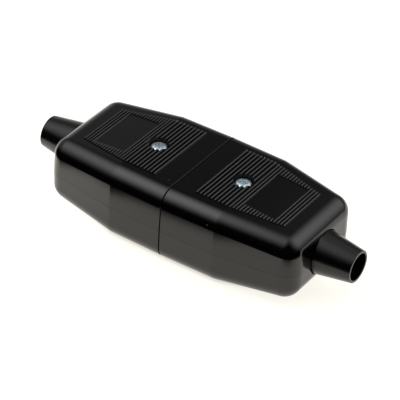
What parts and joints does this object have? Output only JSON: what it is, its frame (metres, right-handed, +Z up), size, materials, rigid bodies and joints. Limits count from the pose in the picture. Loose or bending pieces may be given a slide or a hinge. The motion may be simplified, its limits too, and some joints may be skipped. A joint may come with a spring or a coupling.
{
  "type": "in-line cable connector",
  "caption": "Rewirable in-line connector: two ribbed black shells with cable sleeves that plug together end to end.",
  "frame": {"origin": "on the resting plane, midway between the two halves", "axes": "+X along the cable towards the appliance half, +Z up through the ribbed covers"},
  "size_m": [0.1114, 0.0414, 0.0251],
  "materials": {
    "housing": "glossy black",
    "sleeve": "glossy black",
    "insulator": "matte black",
    "grip": "matte black",
    "contact": "bright",
    "screw": "zinc plated"
  },
  "bodies": {
    "mains_half": {"mains_cover": "housing", "mains_base": "housing", "mains_sleeve": "sleeve", "mains_casing_screw": "screw", "mains_casing_nut": "screw", "mains_grip_bar": "grip", "mains_grip_screw_left": "screw", "mains_grip_screw_right": "screw", "mains_live_terminal_screw": "screw", "mains_neutral_terminal_screw": "screw", "socket_carrier": "insulator", "live_socket": "contact", "neutral_socket": "contact"},
    "appliance_half": {"appliance_cover": "housing", "appliance_base": "housing", "appliance_sleeve": "sleeve", "appliance_casing_screw": "screw", "appliance_casing_nut": "screw", "appliance_grip_bar": "grip", "appliance_grip_screw_left": "screw", "appliance_grip_screw_right": "screw", "appliance_live_terminal_screw": "screw", "appliance_neutral_terminal_screw": "screw", "pin_carrier": "insulator", "live_pin": "contact", "neutral_pin": "contact"}
  },
  "joints": [
    {"name": "unplug", "type": "slide", "parent": "mains_half", "child": "appliance_half", "axis": [1, 0, 0], "range_m": [0, 0.02]}
  ]
}
